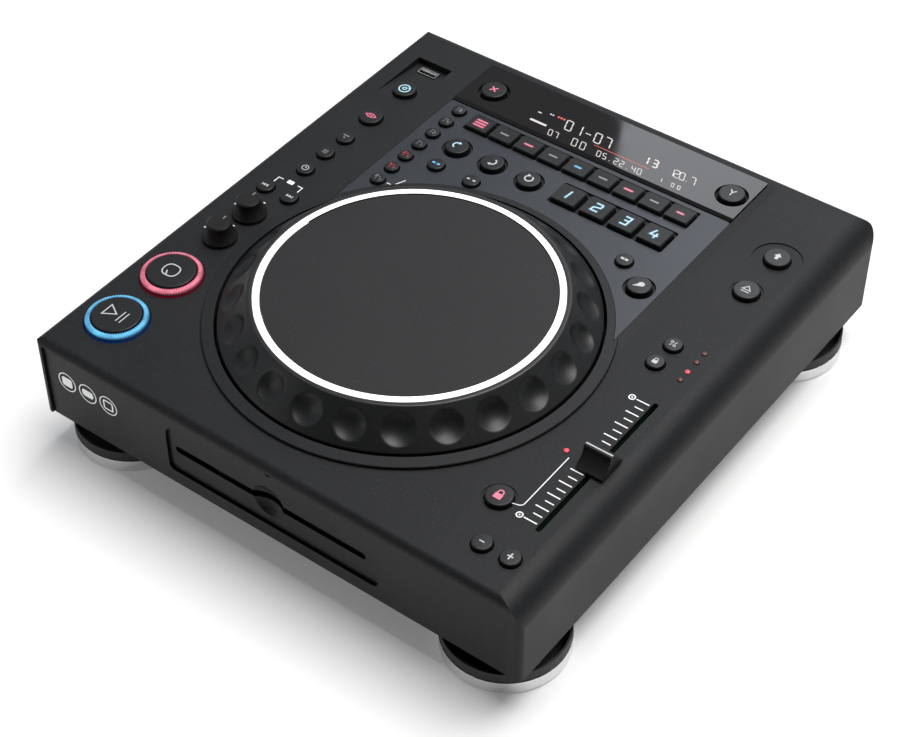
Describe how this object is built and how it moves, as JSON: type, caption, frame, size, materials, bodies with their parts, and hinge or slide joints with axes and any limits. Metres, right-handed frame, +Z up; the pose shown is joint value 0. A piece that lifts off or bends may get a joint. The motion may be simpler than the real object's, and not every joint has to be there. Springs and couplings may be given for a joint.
{
  "type": "tabletop disc player",
  "caption": "Tabletop slot-in disc player: dimpled jog wheel in a well, key console under a display lens, pitch fader, knobs, lit play and cue keys, four round feet.",
  "frame": {"origin": "on the table, at the middle of the whole object's footprint", "axes": "+Z up, +Y to the player's back, +X to the right as its user faces it"},
  "size_m": [0.331, 0.362, 0.1029],
  "materials": {
    "shell_plastic": "fine texture",
    "plate_metal": "satin",
    "lens_acrylic": "polished",
    "panel_plastic": "semi-gloss",
    "pan_steel": "satin black",
    "foot_metal": "turned ring on a black rubber cup",
    "drive_steel": "plated sheet",
    "board_fibre": "solder mask",
    "bearing_bronze": "sintered",
    "jog_plastic": "satin",
    "touch_metal": "spun, black anodised, in a translucent light ring",
    "knob_plastic": "satin",
    "key_plastic": "satin",
    "crown_plastic": "satin cap in a translucent serrated crown"
  },
  "bodies": {
    "player": {"top_shell": "shell_plastic", "control_plate": "plate_metal", "display_lens": "lens_acrylic", "front_panel": "panel_plastic", "base_pan": "pan_steel", "feet": "foot_metal", "disc_drive": "drive_steel", "circuit_boards": "board_fibre", "jog_bearing": "bearing_bronze"},
    "jog": {"jog_wheel": "jog_plastic", "jog_plate": "touch_metal"},
    "level_knob": {"knob_front": "knob_plastic"},
    "filter_knob": {"knob_rear": "knob_plastic"},
    "pitch": {"pitch_fader": "knob_plastic"},
    "power": {"power_rocker": "knob_plastic"},
    "key_play": {"play": "crown_plastic"},
    "key_cue": {"cue": "crown_plastic"},
    "key_reverse": {"reverse": "key_plastic"},
    "key_mode": {"mode": "key_plastic"},
    "key_loop_in": {"loop_in": "key_plastic"},
    "key_loop_out": {"loop_out": "key_plastic"},
    "key_reloop": {"reloop": "key_plastic"},
    "key_shift": {"shift": "key_plastic"},
    "key_eject": {"eject": "key_plastic"},
    "key_tap": {"tap": "key_plastic"},
    "key_pitch_lock": {"pitch_lock": "key_plastic"},
    "key_fx_1": {"fx_1": "key_plastic"},
    "key_pad_1": {"pad_1": "key_plastic"},
    "key_beat_1": {"beat_1": "key_plastic"},
    "key_bank": {"bank": "key_plastic"},
    "key_fx": {"fx": "key_plastic"},
    "key_time": {"time": "key_plastic"},
    "key_prev": {"prev": "key_plastic"},
    "key_next": {"next": "key_plastic"},
    "key_x": {"x": "key_plastic"},
    "key_y": {"y": "key_plastic"},
    "key_range": {"range": "key_plastic"},
    "key_lock": {"lock": "key_plastic"},
    "key_memo": {"memo": "key_plastic"},
    "key_sampler": {"sampler": "key_plastic"},
    "key_sync": {"sync": "key_plastic"},
    "key_bend_minus": {"bend_minus": "key_plastic"},
    "key_bend_plus": {"bend_plus": "key_plastic"},
    "key_fx_2": {"fx_2": "key_plastic"},
    "key_fx_3": {"fx_3": "key_plastic"},
    "key_fx_4": {"fx_4": "key_plastic"},
    "key_fx_5": {"fx_5": "key_plastic"},
    "key_fx_6": {"fx_6": "key_plastic"},
    "key_fx_7": {"fx_7": "key_plastic"},
    "key_fx_8": {"fx_8": "key_plastic"},
    "key_fx_9": {"fx_9": "key_plastic"},
    "key_pad_2": {"pad_2": "key_plastic"},
    "key_pad_3": {"pad_3": "key_plastic"},
    "key_pad_4": {"pad_4": "key_plastic"},
    "key_beat_2": {"beat_2": "key_plastic"},
    "key_beat_3": {"beat_3": "key_plastic"},
    "key_beat_4": {"beat_4": "key_plastic"},
    "key_beat_5": {"beat_5": "key_plastic"},
    "key_beat_6": {"beat_6": "key_plastic"},
    "key_beat_7": {"beat_7": "key_plastic"}
  },
  "joints": [
    {"name": "jog_turn", "type": "hinge", "parent": "player", "child": "jog", "pos_m": [-0.0063, -0.04703, 0.06873], "axis": [0, -0.0129, 0.9999], "continuous": true},
    {"name": "pitch_slide", "type": "slide", "parent": "player", "child": "pitch", "axis": [0, 0.9999, 0.0129], "range_m": [-0.05, 0.05]},
    {"name": "front_knob_turn", "type": "hinge", "parent": "player", "child": "level_knob", "pos_m": [-0.1346, -0.05902, 0.07558], "axis": [0, -0.0129, 0.9999], "range_deg": [-150, 150]},
    {"name": "rear_knob_turn", "type": "hinge", "parent": "player", "child": "filter_knob", "pos_m": [-0.1346, -0.03312, 0.07591], "axis": [0, -0.0129, 0.9999], "range_deg": [-150, 150]},
    {"name": "power_rock", "type": "hinge", "parent": "player", "child": "power", "pos_m": [-0.07, 0.1704, 0.048], "axis": [1, 0, 0], "range_deg": [0, 12]},
    {"name": "play_press", "type": "slide", "parent": "player", "child": "key_play", "axis": [0, 0.0129, -0.9999], "range_m": [0, 0.0012], "stiffness_N_per_m": 500, "springref_m": -0.003},
    {"name": "cue_press", "type": "slide", "parent": "player", "child": "key_cue", "axis": [0, 0.0129, -0.9999], "range_m": [0, 0.0012], "stiffness_N_per_m": 500, "springref_m": -0.003},
    {"name": "reverse_press", "type": "slide", "parent": "player", "child": "key_reverse", "axis": [0, 0.0129, -0.9999], "range_m": [0, 0.0012], "stiffness_N_per_m": 400, "springref_m": -0.0025},
    {"name": "mode_press", "type": "slide", "parent": "player", "child": "key_mode", "axis": [0, 0.0129, -0.9999], "range_m": [0, 0.0012], "stiffness_N_per_m": 400, "springref_m": -0.0025},
    {"name": "loop_in_press", "type": "slide", "parent": "player", "child": "key_loop_in", "axis": [0, 0.0129, -0.9999], "range_m": [0, 0.0012], "stiffness_N_per_m": 400, "springref_m": -0.0025},
    {"name": "loop_out_press", "type": "slide", "parent": "player", "child": "key_loop_out", "axis": [0, 0.0129, -0.9999], "range_m": [0, 0.0012], "stiffness_N_per_m": 400, "springref_m": -0.0025},
    {"name": "reloop_press", "type": "slide", "parent": "player", "child": "key_reloop", "axis": [0, 0.0129, -0.9999], "range_m": [0, 0.0012], "stiffness_N_per_m": 400, "springref_m": -0.0025},
    {"name": "shift_press", "type": "slide", "parent": "player", "child": "key_shift", "axis": [0, 0.0129, -0.9999], "range_m": [0, 0.0012], "stiffness_N_per_m": 400, "springref_m": -0.0025},
    {"name": "eject_press", "type": "slide", "parent": "player", "child": "key_eject", "axis": [0, 0.0129, -0.9999], "range_m": [0, 0.0012], "stiffness_N_per_m": 400, "springref_m": -0.0025},
    {"name": "tap_press", "type": "slide", "parent": "player", "child": "key_tap", "axis": [0, 0.0129, -0.9999], "range_m": [0, 0.0012], "stiffness_N_per_m": 400, "springref_m": -0.0025},
    {"name": "pitch_lock_press", "type": "slide", "parent": "player", "child": "key_pitch_lock", "axis": [0, 0.0129, -0.9999], "range_m": [0, 0.0012], "stiffness_N_per_m": 400, "springref_m": -0.0025},
    {"name": "fx_1_press", "type": "slide", "parent": "player", "child": "key_fx_1", "axis": [0, 0.0129, -0.9999], "range_m": [0, 0.0012], "stiffness_N_per_m": 400, "springref_m": -0.0025},
    {"name": "pad_1_press", "type": "slide", "parent": "player", "child": "key_pad_1", "axis": [0, 0.0129, -0.9999], "range_m": [0, 0.0012], "stiffness_N_per_m": 400, "springref_m": -0.0025},
    {"name": "beat_1_press", "type": "slide", "parent": "player", "child": "key_beat_1", "axis": [0, 0.0129, -0.9999], "range_m": [0, 0.0012], "stiffness_N_per_m": 400, "springref_m": -0.0025},
    {"name": "bank_press", "type": "slide", "parent": "player", "child": "key_bank", "axis": [0, 0.0129, -0.9999], "range_m": [0, 0.0012], "stiffness_N_per_m": 400, "springref_m": -0.0025},
    {"name": "fx_press", "type": "slide", "parent": "player", "child": "key_fx", "axis": [0, 0.0129, -0.9999], "range_m": [0, 0.0012], "stiffness_N_per_m": 400, "springref_m": -0.0025},
    {"name": "time_press", "type": "slide", "parent": "player", "child": "key_time", "axis": [0, 0.0129, -0.9999], "range_m": [0, 0.0012], "stiffness_N_per_m": 400, "springref_m": -0.0025},
    {"name": "prev_press", "type": "slide", "parent": "player", "child": "key_prev", "axis": [0, 0.0129, -0.9999], "range_m": [0, 0.0012], "stiffness_N_per_m": 400, "springref_m": -0.0025},
    {"name": "next_press", "type": "slide", "parent": "player", "child": "key_next", "axis": [0, 0.0129, -0.9999], "range_m": [0, 0.0012], "stiffness_N_per_m": 400, "springref_m": -0.0025},
    {"name": "x_press", "type": "slide", "parent": "player", "child": "key_x", "axis": [0, 0.0129, -0.9999], "range_m": [0, 0.0012], "stiffness_N_per_m": 400, "springref_m": -0.0025},
    {"name": "y_press", "type": "slide", "parent": "player", "child": "key_y", "axis": [0, 0.0129, -0.9999], "range_m": [0, 0.0012], "stiffness_N_per_m": 400, "springref_m": -0.0025},
    {"name": "range_press", "type": "slide", "parent": "player", "child": "key_range", "axis": [0, 0.0129, -0.9999], "range_m": [0, 0.0012], "stiffness_N_per_m": 400, "springref_m": -0.0025},
    {"name": "lock_press", "type": "slide", "parent": "player", "child": "key_lock", "axis": [0, 0.0129, -0.9999], "range_m": [0, 0.0012], "stiffness_N_per_m": 400, "springref_m": -0.0025},
    {"name": "memo_press", "type": "slide", "parent": "player", "child": "key_memo", "axis": [0, 0.0129, -0.9999], "range_m": [0, 0.0012], "stiffness_N_per_m": 400, "springref_m": -0.0025},
    {"name": "sampler_press", "type": "slide", "parent": "player", "child": "key_sampler", "axis": [0, 0.0129, -0.9999], "range_m": [0, 0.0012], "stiffness_N_per_m": 400, "springref_m": -0.0025},
    {"name": "sync_press", "type": "slide", "parent": "player", "child": "key_sync", "axis": [0, 0.0129, -0.9999], "range_m": [0, 0.0012], "stiffness_N_per_m": 400, "springref_m": -0.0025},
    {"name": "bend_minus_press", "type": "slide", "parent": "player", "child": "key_bend_minus", "axis": [0, 0.0129, -0.9999], "range_m": [0, 0.0012], "stiffness_N_per_m": 400, "springref_m": -0.0025},
    {"name": "bend_plus_press", "type": "slide", "parent": "player", "child": "key_bend_plus", "axis": [0, 0.0129, -0.9999], "range_m": [0, 0.0012], "stiffness_N_per_m": 400, "springref_m": -0.0025},
    {"name": "fx_2_press", "type": "slide", "parent": "player", "child": "key_fx_2", "axis": [0, 0.0129, -0.9999], "range_m": [0, 0.0012], "stiffness_N_per_m": 400, "springref_m": -0.0025},
    {"name": "fx_3_press", "type": "slide", "parent": "player", "child": "key_fx_3", "axis": [0, 0.0129, -0.9999], "range_m": [0, 0.0012], "stiffness_N_per_m": 400, "springref_m": -0.0025},
    {"name": "fx_4_press", "type": "slide", "parent": "player", "child": "key_fx_4", "axis": [0, 0.0129, -0.9999], "range_m": [0, 0.0012], "stiffness_N_per_m": 400, "springref_m": -0.0025},
    {"name": "fx_5_press", "type": "slide", "parent": "player", "child": "key_fx_5", "axis": [0, 0.0129, -0.9999], "range_m": [0, 0.0012], "stiffness_N_per_m": 400, "springref_m": -0.0025},
    {"name": "fx_6_press", "type": "slide", "parent": "player", "child": "key_fx_6", "axis": [0, 0.0129, -0.9999], "range_m": [0, 0.0012], "stiffness_N_per_m": 400, "springref_m": -0.0025},
    {"name": "fx_7_press", "type": "slide", "parent": "player", "child": "key_fx_7", "axis": [0, 0.0129, -0.9999], "range_m": [0, 0.0012], "stiffness_N_per_m": 400, "springref_m": -0.0025},
    {"name": "fx_8_press", "type": "slide", "parent": "player", "child": "key_fx_8", "axis": [0, 0.0129, -0.9999], "range_m": [0, 0.0012], "stiffness_N_per_m": 400, "springref_m": -0.0025},
    {"name": "fx_9_press", "type": "slide", "parent": "player", "child": "key_fx_9", "axis": [0, 0.0129, -0.9999], "range_m": [0, 0.0012], "stiffness_N_per_m": 400, "springref_m": -0.0025},
    {"name": "pad_2_press", "type": "slide", "parent": "player", "child": "key_pad_2", "axis": [0, 0.0129, -0.9999], "range_m": [0, 0.0012], "stiffness_N_per_m": 400, "springref_m": -0.0025},
    {"name": "pad_3_press", "type": "slide", "parent": "player", "child": "key_pad_3", "axis": [0, 0.0129, -0.9999], "range_m": [0, 0.0012], "stiffness_N_per_m": 400, "springref_m": -0.0025},
    {"name": "pad_4_press", "type": "slide", "parent": "player", "child": "key_pad_4", "axis": [0, 0.0129, -0.9999], "range_m": [0, 0.0012], "stiffness_N_per_m": 400, "springref_m": -0.0025},
    {"name": "beat_2_press", "type": "slide", "parent": "player", "child": "key_beat_2", "axis": [0, 0.0129, -0.9999], "range_m": [0, 0.0012], "stiffness_N_per_m": 400, "springref_m": -0.0025},
    {"name": "beat_3_press", "type": "slide", "parent": "player", "child": "key_beat_3", "axis": [0, 0.0129, -0.9999], "range_m": [0, 0.0012], "stiffness_N_per_m": 400, "springref_m": -0.0025},
    {"name": "beat_4_press", "type": "slide", "parent": "player", "child": "key_beat_4", "axis": [0, 0.0129, -0.9999], "range_m": [0, 0.0012], "stiffness_N_per_m": 400, "springref_m": -0.0025},
    {"name": "beat_5_press", "type": "slide", "parent": "player", "child": "key_beat_5", "axis": [0, 0.0129, -0.9999], "range_m": [0, 0.0012], "stiffness_N_per_m": 400, "springref_m": -0.0025},
    {"name": "beat_6_press", "type": "slide", "parent": "player", "child": "key_beat_6", "axis": [0, 0.0129, -0.9999], "range_m": [0, 0.0012], "stiffness_N_per_m": 400, "springref_m": -0.0025},
    {"name": "beat_7_press", "type": "slide", "parent": "player", "child": "key_beat_7", "axis": [0, 0.0129, -0.9999], "range_m": [0, 0.0012], "stiffness_N_per_m": 400, "springref_m": -0.0025}
  ]
}
